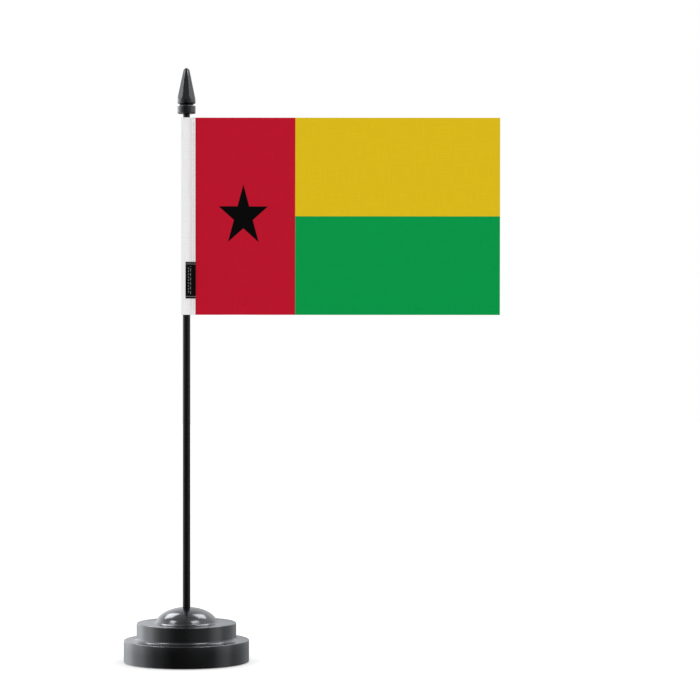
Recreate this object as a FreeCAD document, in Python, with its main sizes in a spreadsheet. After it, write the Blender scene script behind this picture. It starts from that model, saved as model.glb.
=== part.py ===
"""Desk flag stand: a round two-tier base, a plastic staff with a spear finial, and a sleeved cloth flag.

Millimetres, +Z up. The origin is on the desk, under the middle of the base, and the staff stands on
the Z axis. The flag flies towards +X and its face looks along -Y.
"""
import FreeCAD, Part
import math
import os
import Sketcher

SIZES = [
    ("base_dia", 63.8, "lower tier, across"),
    ("lower_top", 11.4, "top face of the lower tier above the desk"),
    ("ledge", 6.55, "width of the step between the tiers"),
    ("upper_top", 20.1, "top face of the upper tier above the desk"),
    ("dome_dia", 31.6, "dome, across its widest level"),
    ("dome_rise", 8.8, "half height of the ellipsoid that makes the dome"),
    ("dome_sink", 0.9, "widest level of the dome below the upper face"),
    ("shell_wall", 1.8, "wall of the base moulding"),
    ("rim_lift", 0.3, "shell rim above the desk"),
    ("edge_round", 0.5, "round on the outer edges of both tiers"),
    ("rim_round", 0.25, "round at the foot of the lower tier"),
    ("foot_round", 1.5, "concave round where a tier or the dome meets the face below"),
    ("boss_wall", 2.0, "wall of the boss that holds the bush"),
    ("boss_foot", 8.0, "lower end of the boss above the desk"),
    ("bore_roof", 22.0, "blind end of the bore for the bush"),
    ("post_dia", 6.0, "screw post, across"),
    ("post_inset", 4.55, "axis of a screw post inside the wall of the upper tier"),
    ("pilot_dia", 2.6, "pilot hole in a screw post"),
    ("pilot_depth", 8.5, "depth of the pilot hole"),
    ("post_count", 3, "screw posts, and the ribs between them"),
    ("rib_width", 1.2, "thickness of a rib"),
    ("pad_thickness", 0.8, "foot pad"),
    ("pad_gap", 1.0, "foot pad to the inside of the rim"),
    ("plate_thickness", 1.5, "bottom plate"),
    ("plate_gap", 0.15, "bottom plate to the inside of the rim"),
    ("ballast_thickness", 4.0, "ballast disc"),
    ("ballast_gap", 2.0, "ballast disc to the inside of the rim"),
    ("ballast_bore_gap", 1.75, "ballast disc to the line of the boss"),
    ("post_gap", 0.5, "ballast disc to a screw post"),
    ("screw_dia", 2.5, "shank of a screw"),
    ("screw_length", 9.0, "screw, head included"),
    ("head_dia", 5.0, "countersunk head of a screw"),
    ("head_depth", 1.2, "height of the head"),
    ("recess_width", 0.7, "arm of the cross recess"),
    ("recess_depth", 0.8, "depth of the cross recess"),
    ("screw_gap", 0.1, "screw to its hole in the bottom plate"),
    ("stack_gap", 0.05, "end play between stacked pieces"),
    ("staff_dia", 3.95, "staff at its foot"),
    ("staff_top_dia", 3.8, "staff below its shoulder"),
    ("staff_length", 282.55, "staff from foot to tip"),
    ("foot_bevel", 0.4, "bevel at the foot and the tip of the staff"),
    ("spigot_dia", 3.55, "spigot that carries the finial"),
    ("spigot_length", 11.2, "spigot from shoulder to tip"),
    ("bush_wall", 1.2, "wall of the bush"),
    ("bush_floor", 1.2, "closed foot of the bush"),
    ("bush_gap", 0.05, "bush to the bore of the boss"),
    ("staff_gap", 0.025, "staff to the bush"),
    ("dome_gap", 0.15, "staff to the hole in the dome"),
    ("finial_gap", 0.03, "spigot to the bore of the finial"),
    ("finial_bore_depth", 6.5, "depth of the bore in the finial"),
    ("collar_dia", 9.34, "collar of the finial"),
    ("collar_height", 4.0, "collar of the finial"),
    ("collar_bevel", 0.4, "bevel on the edges of the collar"),
    ("groove_dia", 6.5, "bottom of the groove over the collar"),
    ("groove_height", 1.2, "groove over the collar"),
    ("spear_dia", 9.3, "round foot of the spear"),
    ("spear_height", 18.1, "spear from its foot to its point"),
    ("facet_start", 1.6, "facets begin above the foot of the spear"),
    ("facet_count", 8, "flat facets round the spear"),
    ("tip_dia", 3.2, "spear where its blunt point begins"),
    ("tip_height", 1.0, "blunt point of the spear"),
    ("flag_fly", 155.5, "flag from the seam to its free edge"),
    ("flag_hoist", 100.6, "flag along the staff"),
    ("flag_drop", 2.05, "top of the flag below the finial"),
    ("flag_travel", 148.0, "length of staff that the flag slides down"),
    ("cloth", 0.3, "thickness of one layer of cloth"),
    ("seam_overhang", 1.793, "outer edge of the seam beyond the round of the sleeve"),
    ("seam_width", 1.5, "overlap of the sleeve and the flag in the seam"),
    ("panel_gap", 0.05, "hoist edge of the flag to the end of its slot"),
    ("sleeve_gap", 0.1, "sleeve to the grip ring"),
    ("hem_depth", 3.5, "hem turned in at the top of the sleeve"),
    ("hem_gap", 0.15, "mouth of the hem over the bore of the grip ring"),
    ("ring_gap", 0.015, "grip ring to the thickest staff that it passes"),
    ("ring_wall", 0.4, "wall of the grip ring"),
    ("ring_height", 3.0, "height of the grip ring"),
    ("ring_drop", 0.1, "grip ring below the hem"),
    ("label_width", 4.95, "label from the seam towards the staff"),
    ("label_height", 18.6, "label along the staff"),
    ("label_lift", 8.3, "label above the lower edge of the flag"),
    ("label_thickness", 0.25, "label"),
    ("thread_dia", 0.25, "sewing thread"),
    ("stitch_length", 2.2, "one stitch"),
    ("stitch_pitch", 2.6, "from one stitch to the next"),
    ("stitch_inset", 0.75, "stitches inside the edge of the seam"),
]

# Radii and levels of the base, worked out from the sheet.
RIM_RADIUS = "(Dim.base_dia / 2)"
CAVITY_RADIUS = "(Dim.base_dia / 2 - Dim.shell_wall)"
UPPER_RADIUS = "(Dim.base_dia / 2 - Dim.ledge)"
UPPER_CAVITY_RADIUS = "(Dim.base_dia / 2 - Dim.ledge - Dim.shell_wall)"
DOME_CENTRE = "(Dim.upper_top - Dim.dome_sink)"
DOME_FOOT_RADIUS = "(Dim.dome_dia / 2 * sqrt(1 - (Dim.dome_sink / Dim.dome_rise) ^ 2))"
UPPER_ROOF = "(Dim.upper_top - Dim.shell_wall)"
PLATE_TOP = "(Dim.pad_thickness + Dim.plate_thickness)"
BALLAST_TOP = f"({PLATE_TOP} + Dim.ballast_thickness)"
POST_CIRCLE = f"({UPPER_CAVITY_RADIUS} - Dim.post_inset)"

# The bush stands on the bottom plate, and the staff stands on the floor of the bush.
BUSH_BORE_RADIUS = "(Dim.staff_dia / 2 + Dim.staff_gap)"
BUSH_RADIUS = f"({BUSH_BORE_RADIUS} + Dim.bush_wall)"
BOSS_BORE_RADIUS = f"({BUSH_RADIUS} + Dim.bush_gap)"
BOSS_RADIUS = f"({BOSS_BORE_RADIUS} + Dim.boss_wall)"
BUSH_FOOT = f"({PLATE_TOP} + Dim.stack_gap)"
STAFF_FOOT = f"({BUSH_FOOT} + Dim.bush_floor + Dim.stack_gap)"
STAFF_TIP = f"({STAFF_FOOT} + Dim.staff_length)"
SHOULDER = f"({STAFF_TIP} - Dim.spigot_length)"

# The finial stands on the tip of the staff, and the flag hangs under the finial.
FINIAL_FOOT = f"({STAFF_TIP} + Dim.stack_gap - Dim.finial_bore_depth)"
COLLAR_TOP = f"({FINIAL_FOOT} + Dim.collar_height)"
SPEAR_FOOT = f"({COLLAR_TOP} + Dim.groove_height)"
SPEAR_POINT = f"({SPEAR_FOOT} + Dim.spear_height)"
FLAG_TOP = f"({FINIAL_FOOT} - Dim.flag_drop)"
FLAG_FOOT = f"({FLAG_TOP} - Dim.flag_hoist)"
RING_TOP = f"({FLAG_TOP} - Dim.hem_depth - Dim.ring_drop)"
RING_FOOT = f"({RING_TOP} - Dim.ring_height)"

# The grip ring passes the staff down to the lowest place of the flag, and the sleeve passes the ring.
LOWEST_RING_SHARE = f"(({RING_FOOT} - Dim.flag_travel - {STAFF_FOOT}) / ({SHOULDER} - {STAFF_FOOT}))"
STAFF_AT_LOWEST_RING = f"(Dim.staff_dia - (Dim.staff_dia - Dim.staff_top_dia) * {LOWEST_RING_SHARE})"
RING_BORE_RADIUS = f"({STAFF_AT_LOWEST_RING} / 2 + Dim.ring_gap)"
RING_RADIUS = f"({RING_BORE_RADIUS} + Dim.ring_wall)"
SLEEVE_INNER_RADIUS = f"({RING_RADIUS} + Dim.sleeve_gap)"
SLEEVE_RADIUS = f"({SLEEVE_INNER_RADIUS} + Dim.cloth)"
SEAM_EDGE = f"({SLEEVE_RADIUS} + Dim.seam_overhang)"
SEAM_START = f"({SEAM_EDGE} - Dim.seam_width)"
SEAM_HALF_DEPTH = "(1.5 * Dim.cloth)"

doc = FreeCAD.newDocument("desk_flag_stand")


def make_sheet():
    """Put every driving dimension in the sheet, with its alias."""
    sheet = doc.addObject("Spreadsheet::Sheet", "Dim")
    for row, (alias, value, note) in enumerate(SIZES, start=1):
        sheet.set(f"A{row}", note)
        sheet.set(f"B{row}", str(value))
        sheet.setAlias(f"B{row}", alias)
    doc.recompute()
    return sheet


def value_of(text):
    """The number that an expression on the sheet stands for."""
    return float(dimensions.evalExpression(text))


def bind(feature, name, text):
    """Tie one property of a feature to an expression on the sheet."""
    feature.setExpression(name, text)


def make_body(label):
    body = doc.addObject("PartDesign::Body", label)
    body.Label = label
    return body


def origin_item(body, role):
    """A plane or an axis of the body's own origin."""
    return next(item for item in body.Origin.OriginFeatures if item.Role == role)


def attach(feature, body, plane, lift="0"):
    """Lay a sketch or a primitive on an origin plane, lifted off it."""
    feature.AttachmentSupport = (origin_item(body, plane), [""])
    feature.MapMode = "FlatFace"
    bind(feature, "AttachmentOffset.Base.z", lift)


def place_corner(sketch, line, point, corner):
    """Hold one end of a sketch line at a bound place."""
    for kind, text in zip(("DistanceX", "DistanceY"), corner):
        index = sketch.addConstraint(
            Sketcher.Constraint(kind, -1, 1, line, point, value_of(text))
        )
        sketch.setExpression(f"Constraints[{index}]", text)


def outline(body, name, plane, corners, lift="0"):
    """A closed sketch of straight lines, its corners given as expressions."""
    sketch = body.newObject("Sketcher::SketchObject", name)
    attach(sketch, body, plane, lift)
    spots = [FreeCAD.Vector(value_of(across), value_of(up), 0) for across, up in corners]
    count = len(corners)
    for index in range(count):
        sketch.addGeometry(Part.LineSegment(spots[index], spots[(index + 1) % count]), False)
    for index in range(count):
        sketch.addConstraint(Sketcher.Constraint("Coincident", index, 2, (index + 1) % count, 1))
    for index, corner in enumerate(corners):
        place_corner(sketch, index, 1, corner)
    return sketch


def turn(body, name, corners, cut=False):
    """Revolve an outline drawn in the XZ plane about the Z axis."""
    sketch = outline(body, name + "_sketch", "XZ_Plane", corners)
    kind = "PartDesign::Groove" if cut else "PartDesign::Revolution"
    before = 0 if body.Tip is None else body.Tip.Shape.Volume
    feature = body.newObject(kind, name)
    feature.Profile = sketch
    feature.ReferenceAxis = (sketch, ["V_Axis"])
    feature.Angle = 360
    doc.recompute()
    if cut and feature.Shape.Volume >= before:
        raise RuntimeError(name + " cuts nothing")
    return feature


def primitive(body, kind, name, place, **sizes):
    """Add or cut one PartDesign primitive with a bound place and bound sizes."""
    feature = body.newObject("PartDesign::" + kind, name)
    attach(feature, body, "XY_Plane", place[2])
    bind(feature, "AttachmentOffset.Base.x", place[0])
    bind(feature, "AttachmentOffset.Base.y", place[1])
    for size, text in sizes.items():
        bind(feature, size, text)
    doc.recompute()
    return feature


def ring_pattern(body, name, originals, count):
    """Repeat features evenly about the Z axis."""
    pattern = body.newObject("PartDesign::PolarPattern", name)
    pattern.Originals = originals
    pattern.Axis = (origin_item(body, "Z_Axis"), [""])
    pattern.Angle = 360
    bind(pattern, "Occurrences", count)
    body.Tip = pattern
    doc.recompute()
    return pattern


def circle_edges(shape, radius, level):
    """Names of the whole-circle edges of one radius at one level."""
    names = []
    for number, edge in enumerate(shape.Edges, start=1):
        box = edge.BoundBox
        flat = abs(box.ZMin - level) < 0.01 and abs(box.ZMax - level) < 0.01
        if flat and abs(box.XMax - radius) < 0.05:
            names.append(f"Edge{number}")
    return names


def dress(body, kind, name, size_name, size, spots):
    """Fillet or chamfer the circular edges at the given radii and levels."""
    base = body.Tip
    names = []
    for radius, level in spots:
        found = circle_edges(base.Shape, value_of(radius), value_of(level))
        if not found:
            raise RuntimeError(f"{name} finds no edge at {radius}, {level}")
        names += found
    feature = body.newObject("PartDesign::" + kind, name)
    feature.Base = (base, names)
    bind(feature, size_name, size)
    doc.recompute()
    return feature


def make_base_shell():
    """The gloss moulding: two tiers and a dome outside, a boss, screw posts and ribs inside."""
    body = make_body("base_shell")
    turn(body, "tiers", [
        ("0", "Dim.rim_lift"), (RIM_RADIUS, "Dim.rim_lift"), (RIM_RADIUS, "Dim.lower_top"),
        (UPPER_RADIUS, "Dim.lower_top"), (UPPER_RADIUS, "Dim.upper_top"), ("0", "Dim.upper_top"),
    ])
    primitive(body, "AdditiveEllipsoid", "dome", ("0", "0", DOME_CENTRE),
              Radius1="Dim.dome_rise", Radius2="Dim.dome_dia / 2", Radius3="Dim.dome_dia / 2")
    dress(body, "Fillet", "concave_rounds", "Radius", "Dim.foot_round", [
        (UPPER_RADIUS, "Dim.lower_top"), (DOME_FOOT_RADIUS, "Dim.upper_top"),
    ])
    dress(body, "Fillet", "edge_rounds", "Radius", "Dim.edge_round", [
        (RIM_RADIUS, "Dim.lower_top"), (UPPER_RADIUS, "Dim.upper_top"),
    ])
    dress(body, "Fillet", "rim_round", "Radius", "Dim.rim_round", [(RIM_RADIUS, "Dim.rim_lift")])
    hollow_base_shell(body)
    add_base_fixings(body)
    return body


def hollow_base_shell(body):
    """Core out both tiers and the dome, leaving an even wall."""
    lower_roof = "Dim.lower_top - Dim.shell_wall"
    turn(body, "cavity", [
        ("0", "Dim.rim_lift"), (CAVITY_RADIUS, "Dim.rim_lift"), (CAVITY_RADIUS, lower_roof),
        (UPPER_CAVITY_RADIUS, lower_roof), (UPPER_CAVITY_RADIUS, UPPER_ROOF), ("0", UPPER_ROOF),
    ], cut=True)
    core_radius = "Dim.dome_dia / 2 - Dim.shell_wall"
    primitive(body, "SubtractiveEllipsoid", "dome_core", ("0", "0", DOME_CENTRE),
              Radius1="Dim.dome_rise - Dim.shell_wall", Radius2=core_radius, Radius3=core_radius)


def add_base_fixings(body):
    """The boss for the bush, the hole for the staff, and the posts and ribs over the ballast."""
    dome_top = f"{DOME_CENTRE} + Dim.dome_rise"
    primitive(body, "AdditiveCylinder", "boss", ("0", "0", "Dim.boss_foot"),
              Radius=BOSS_RADIUS, Height=f"{dome_top} - Dim.shell_wall - Dim.boss_foot")
    post = primitive(body, "AdditiveCylinder", "post", (POST_CIRCLE, "0", PLATE_TOP),
                     Radius="Dim.post_dia / 2",
                     Height=f"{UPPER_ROOF} + Dim.shell_wall / 2 - {PLATE_TOP}")
    rib = primitive(body, "AdditiveBox", "rib",
                    (f"-{UPPER_CAVITY_RADIUS} - Dim.shell_wall / 2", "-Dim.rib_width / 2",
                     f"{BALLAST_TOP} + Dim.stack_gap"),
                    Length=(f"{UPPER_CAVITY_RADIUS} + Dim.shell_wall / 2"
                            f" - {BOSS_BORE_RADIUS} - Dim.boss_wall / 2"),
                    Width="Dim.rib_width",
                    Height=f"{UPPER_ROOF} + Dim.shell_wall / 2 - {BALLAST_TOP} - Dim.stack_gap")
    ring_pattern(body, "posts_and_ribs", [post, rib], "Dim.post_count")
    pilot = primitive(body, "SubtractiveCylinder", "pilot", (POST_CIRCLE, "0", PLATE_TOP),
                      Radius="Dim.pilot_dia / 2", Height="Dim.pilot_depth")
    ring_pattern(body, "pilots", [pilot], "Dim.post_count")
    primitive(body, "SubtractiveCylinder", "bush_bore", ("0", "0", PLATE_TOP),
              Radius=BOSS_BORE_RADIUS, Height=f"Dim.bore_roof - {PLATE_TOP}")
    primitive(body, "SubtractiveCylinder", "staff_hole", ("0", "0", PLATE_TOP),
              Radius="Dim.staff_dia / 2 + Dim.dome_gap", Height=f"{dome_top} + 1 - {PLATE_TOP}")


def make_ballast_disc():
    """A punched steel ring that keeps the stand upright, with holes for the screw posts."""
    body = make_body("ballast_disc")
    bore = f"{BOSS_RADIUS} + Dim.ballast_bore_gap"
    edge = f"{CAVITY_RADIUS} - Dim.ballast_gap"
    turn(body, "ring", [
        (bore, PLATE_TOP), (edge, PLATE_TOP), (edge, BALLAST_TOP), (bore, BALLAST_TOP),
    ])
    hole = primitive(body, "SubtractiveCylinder", "post_hole", (POST_CIRCLE, "0", PLATE_TOP),
                     Radius="Dim.post_dia / 2 + Dim.post_gap", Height="Dim.ballast_thickness")
    ring_pattern(body, "post_holes", [hole], "Dim.post_count")
    return body


def make_bottom_plate():
    """The plastic disc that closes the base, countersunk for the screws."""
    body = make_body("bottom_plate")
    edge = f"{CAVITY_RADIUS} - Dim.plate_gap"
    turn(body, "disc", [
        ("0", "Dim.pad_thickness"), (edge, "Dim.pad_thickness"), (edge, PLATE_TOP), ("0", PLATE_TOP),
    ])
    sink = primitive(body, "SubtractiveCone", "countersink", (POST_CIRCLE, "0", "Dim.pad_thickness"),
                     Radius1="Dim.head_dia / 2 + Dim.screw_gap",
                     Radius2="Dim.screw_dia / 2 + Dim.screw_gap", Height="Dim.head_depth")
    hole = primitive(body, "SubtractiveCylinder", "clear_hole", (POST_CIRCLE, "0", "Dim.pad_thickness"),
                     Radius="Dim.screw_dia / 2 + Dim.screw_gap", Height="Dim.plate_thickness")
    ring_pattern(body, "screw_holes", [sink, hole], "Dim.post_count")
    return body


def make_bottom_screws():
    """Self-tapping countersunk screws, one into each post."""
    body = make_body("bottom_screws")
    body.AllowCompound = True
    foot = "Dim.pad_thickness"
    head = primitive(body, "AdditiveCone", "head", (POST_CIRCLE, "0", foot),
                     Radius1="Dim.head_dia / 2", Radius2="Dim.screw_dia / 2", Height="Dim.head_depth")
    shank = primitive(body, "AdditiveCylinder", "shank", (POST_CIRCLE, "0", foot),
                      Radius="Dim.screw_dia / 2", Height="Dim.screw_length - Dim.screw_dia / 2")
    point = primitive(body, "AdditiveCone", "point",
                      (POST_CIRCLE, "0", f"{foot} + Dim.screw_length - Dim.screw_dia / 2"),
                      Radius1="Dim.screw_dia / 2", Radius2="Dim.screw_dia / 8", Height="Dim.screw_dia / 2")
    arm = "Dim.head_dia * 0.55"
    along = primitive(body, "SubtractiveBox", "recess_along",
                      (f"{POST_CIRCLE} - {arm} / 2", "-Dim.recess_width / 2", foot),
                      Length=arm, Width="Dim.recess_width", Height="Dim.recess_depth")
    across = primitive(body, "SubtractiveBox", "recess_across",
                       (f"{POST_CIRCLE} - Dim.recess_width / 2", f"-{arm} / 2", foot),
                       Length="Dim.recess_width", Width=arm, Height="Dim.recess_depth")
    ring_pattern(body, "screws", [head, shank, point, along, across], "Dim.post_count")
    return body


def make_foot_pad():
    """The die-cut rubber disc that the stand rests on; it hides the screws."""
    body = make_body("foot_pad")
    edge = f"{CAVITY_RADIUS} - Dim.pad_gap"
    turn(body, "disc", [
        ("0", "0"), (edge, "0"), (edge, "Dim.pad_thickness"), ("0", "Dim.pad_thickness"),
    ])
    return body


def make_socket_bush():
    """The cup that the foot of the staff stands in; it turns in the boss."""
    body = make_body("socket_bush")
    floor = f"{BUSH_FOOT} + Dim.bush_floor"
    top = "Dim.bore_roof - 2 * Dim.stack_gap"
    turn(body, "cup", [
        ("0", BUSH_FOOT), (BUSH_RADIUS, BUSH_FOOT), (BUSH_RADIUS, top),
        (BUSH_BORE_RADIUS, top), (BUSH_BORE_RADIUS, floor), ("0", floor),
    ])
    return body


def make_staff():
    """The slightly tapered rod, with a narrower spigot for the finial at its top."""
    body = make_body("staff")
    turn(body, "rod", [
        ("0", STAFF_FOOT), ("Dim.staff_dia / 2 - Dim.foot_bevel", STAFF_FOOT),
        ("Dim.staff_dia / 2", f"{STAFF_FOOT} + Dim.foot_bevel"), ("Dim.staff_top_dia / 2", SHOULDER),
        ("Dim.spigot_dia / 2", SHOULDER), ("Dim.spigot_dia / 2", f"{STAFF_TIP} - Dim.foot_bevel"),
        ("Dim.spigot_dia / 2 - Dim.foot_bevel", STAFF_TIP), ("0", STAFF_TIP),
    ])
    return body


def make_finial():
    """The spear: a turned collar and foot, a blind bore, and facets cut up to a blunt point."""
    body = make_body("finial")
    collar = "Dim.collar_dia / 2"
    spear = "Dim.spear_dia / 2"
    bore = "Dim.spigot_dia / 2 + Dim.finial_gap"
    bore_end = f"{FINIAL_FOOT} + Dim.finial_bore_depth"
    bevel = "Dim.collar_bevel"
    turn(body, "blank", [
        (bore, FINIAL_FOOT), (f"{collar} - {bevel}", FINIAL_FOOT), (collar, f"{FINIAL_FOOT} + {bevel}"),
        (collar, f"{COLLAR_TOP} - {bevel}"), (f"{collar} - {bevel}", COLLAR_TOP),
        ("Dim.groove_dia / 2", f"{COLLAR_TOP} + Dim.groove_height * 0.6"),
        (f"{spear} - {bevel}", SPEAR_FOOT), (spear, f"{SPEAR_FOOT} + {bevel}"), (spear, SPEAR_POINT),
        ("0", SPEAR_POINT), ("0", bore_end), (bore, bore_end),
    ])
    facet_foot = f"{SPEAR_FOOT} + Dim.facet_start"
    tip_level = f"{SPEAR_POINT} - Dim.tip_height"
    beyond = f"{spear} + 1"
    sketch = outline(body, "facet_sketch", "XZ_Plane", [
        (spear, facet_foot), (beyond, facet_foot), (beyond, f"{SPEAR_POINT} + 1"),
        ("0", f"{SPEAR_POINT} + 1"), ("0", SPEAR_POINT), ("Dim.tip_dia / 2", tip_level),
    ])
    facet = body.newObject("PartDesign::Pocket", "facet")
    facet.Profile = sketch
    facet.SideType = "Symmetric"
    bind(facet, "Length", "2 * Dim.spear_dia")
    doc.recompute()
    blank_volume = body.getObject("blank").Shape.Volume
    ring_pattern(body, "facets", [facet], "Dim.facet_count")
    if body.Shape.Volume >= blank_volume:
        raise RuntimeError("the facets cut nothing")
    return body


def make_grip_ring():
    """The rubber ring on the staff that carries the top hem of the sleeve."""
    body = make_body("grip_ring")
    turn(body, "ring", [
        (RING_BORE_RADIUS, RING_FOOT), (RING_RADIUS, RING_FOOT),
        (RING_RADIUS, RING_TOP), (RING_BORE_RADIUS, RING_TOP),
    ])
    return body


def make_flag_panel():
    """The cloth flag, flat, with its hoist edge inside the seam."""
    body = make_body("flag_panel")
    hoist_edge = f"{SEAM_START} + Dim.panel_gap"
    fly_edge = f"{SEAM_EDGE} + Dim.flag_fly"
    sketch = outline(body, "panel_sketch", "XZ_Plane", [
        (hoist_edge, FLAG_FOOT), (fly_edge, FLAG_FOOT), (fly_edge, FLAG_TOP), (hoist_edge, FLAG_TOP),
    ])
    panel = body.newObject("PartDesign::Pad", "panel")
    panel.Profile = sketch
    panel.SideType = "Symmetric"
    bind(panel, "Length", "Dim.cloth")
    doc.recompute()
    return body


def wrap_outline(body, name, radius, half_depth, start, end, lift):
    """A drop-shaped outline round the staff, with a flat tail towards +X for the seam."""
    sketch = body.newObject("Sketcher::SketchObject", name)
    attach(sketch, body, "XY_Plane", lift)
    reach = value_of(radius)
    tail = value_of(half_depth)
    knee = value_of(start)
    far = value_of(end)
    tangent_angle = math.acos(reach / math.hypot(knee, tail)) + math.atan2(tail, knee)
    touch = FreeCAD.Vector(reach * math.cos(tangent_angle), reach * math.sin(tangent_angle), 0)
    touch_below = FreeCAD.Vector(touch.x, -touch.y, 0)
    circle = Part.Circle(FreeCAD.Vector(0, 0, 0), FreeCAD.Vector(0, 0, 1), reach)
    corners = [
        touch_below, FreeCAD.Vector(knee, -tail, 0), FreeCAD.Vector(far, -tail, 0),
        FreeCAD.Vector(far, tail, 0), FreeCAD.Vector(knee, tail, 0), touch,
    ]
    sketch.addGeometry(Part.ArcOfCircle(circle, tangent_angle, 2 * math.pi - tangent_angle), False)
    for first, second in zip(corners, corners[1:]):
        sketch.addGeometry(Part.LineSegment(first, second), False)
    sketch.addConstraint(Sketcher.Constraint("Coincident", 0, 3, -1, 1))
    index = sketch.addConstraint(Sketcher.Constraint("Radius", 0, reach))
    sketch.setExpression(f"Constraints[{index}]", radius)
    sketch.addConstraint(Sketcher.Constraint("Tangent", 0, 2, 1, 1))
    for line in range(1, 5):
        sketch.addConstraint(Sketcher.Constraint("Coincident", line, 2, line + 1, 1))
    sketch.addConstraint(Sketcher.Constraint("Tangent", 5, 2, 0, 1))
    for line, across, up in (
        (2, start, f"-{half_depth}"), (3, end, f"-{half_depth}"),
        (4, end, half_depth), (5, start, half_depth),
    ):
        place_corner(sketch, line, 1, (across, up))
    doc.recompute()
    return sketch


def extrude(body, name, sketch, height, cut=False):
    """Pad or pocket an outline upwards from its own level."""
    before = 0 if body.Tip is None else body.Tip.Shape.Volume
    feature = body.newObject("PartDesign::Pocket" if cut else "PartDesign::Pad", name)
    feature.Profile = sketch
    feature.Reversed = cut
    bind(feature, "Length", height)
    doc.recompute()
    if cut and feature.Shape.Volume >= before:
        raise RuntimeError(name + " cuts nothing")
    return feature


def make_flag_sleeve():
    """The cloth strip folded round the staff, sewn to the flag, with its top hem turned in."""
    body = make_body("flag_sleeve")
    outer = wrap_outline(body, "outer_sketch", SLEEVE_RADIUS, SEAM_HALF_DEPTH,
                         SEAM_START, SEAM_EDGE, FLAG_FOOT)
    extrude(body, "strip", outer, "Dim.flag_hoist")
    inner = wrap_outline(body, "inner_sketch", SLEEVE_INNER_RADIUS, "(Dim.cloth / 2)",
                         f"{SEAM_START} - Dim.cloth / 2", SEAM_START, FLAG_FOOT)
    extrude(body, "hollow", inner, "Dim.flag_hoist - Dim.hem_depth", cut=True)
    primitive(body, "SubtractiveBox", "panel_slot", (SEAM_START, "-Dim.cloth / 2", FLAG_FOOT),
              Length="Dim.seam_width", Width="Dim.cloth", Height="Dim.flag_hoist")
    primitive(body, "SubtractiveCylinder", "mouth", ("0", "0", FLAG_FOOT),
              Radius=f"{RING_BORE_RADIUS} + Dim.hem_gap", Height="Dim.flag_hoist")
    return body


def make_woven_label():
    """The small woven label: caught in the seam, it folds back over the stitches and the sleeve."""
    body = make_body("woven_label")
    foot = f"{FLAG_FOOT} + Dim.label_lift"
    under_depth = f"({SEAM_HALF_DEPTH} + Dim.thread_dia)"
    whole = wrap_outline(body, "whole_sketch", f"({SLEEVE_RADIUS} + Dim.label_thickness)",
                         f"({under_depth} + Dim.label_thickness)", SEAM_START, SEAM_EDGE, foot)
    extrude(body, "blank", whole, "Dim.label_height")
    under = wrap_outline(body, "under_sketch", SLEEVE_RADIUS, under_depth,
                         SEAM_START, f"({SEAM_EDGE} + 1)", foot)
    extrude(body, "sleeve_space", under, "Dim.label_height", cut=True)
    span = f"(2 * {SLEEVE_RADIUS} + 2 * Dim.label_width)"
    primitive(body, "SubtractiveBox", "left_trim",
              (f"{SEAM_EDGE} - Dim.label_width - {span}", f"-{span} / 2", foot),
              Length=span, Width=span, Height="Dim.label_height")
    primitive(body, "SubtractiveBox", "back_trim", (f"-{span} / 2", "0", foot),
              Length=span, Width=span, Height="Dim.label_height")
    return body


def make_hoist_seam():
    """The lockstitch row through the sleeve and the flag, one short thread for each stitch."""
    radius = value_of("Dim.thread_dia / 2")
    length = value_of("Dim.stitch_length")
    pitch = value_of("Dim.stitch_pitch")
    hoist = value_of("Dim.flag_hoist")
    foot = value_of(FLAG_FOOT)
    across = value_of(f"{SEAM_EDGE} - Dim.stitch_inset")
    depth = value_of(SEAM_HALF_DEPTH) + radius
    count = int((hoist - pitch) / pitch)
    start = foot + (hoist - (count - 1) * pitch - length) / 2
    threads = []
    for index in range(count):
        level = start + index * pitch
        for side in (-depth, depth):
            threads.append(Part.makeCylinder(radius, length, FreeCAD.Vector(across, side, level)))
    seam = doc.addObject("Part::Feature", "hoist_seam")
    seam.Label = "hoist_seam"
    seam.Shape = Part.makeCompound(threads)
    seam.Placement = FreeCAD.Placement()
    return seam


def check_and_export(pieces):
    """Stop on any failed feature or bad solid, then write one STEP file for each piece."""
    doc.recompute()
    for item in doc.Objects:
        if "Invalid" in item.State or "Error" in item.State:
            raise RuntimeError(f"{item.Label} did not recompute: {item.State}")
    for piece in pieces:
        if piece.Shape.isNull() or not piece.Shape.isValid() or not piece.Shape.Solids:
            raise RuntimeError(f"{piece.Label} has no valid solid")
    os.makedirs("parts", exist_ok=True)
    for piece in pieces:
        piece.Shape.exportStep(f"parts/{piece.Label}.step")
        print(f"{piece.Label}: {len(piece.Shape.Solids)} solid(s), {piece.Shape.Volume:.1f} mm3")


dimensions = make_sheet()
check_and_export([
    make_base_shell(),
    make_ballast_disc(),
    make_bottom_plate(),
    make_bottom_screws(),
    make_foot_pad(),
    make_socket_bush(),
    make_staff(),
    make_finial(),
    make_grip_ring(),
    make_flag_panel(),
    make_flag_sleeve(),
    make_woven_label(),
    make_hoist_seam(),
])
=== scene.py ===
import math

import bpy
import bmesh
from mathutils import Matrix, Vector, noise


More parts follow.
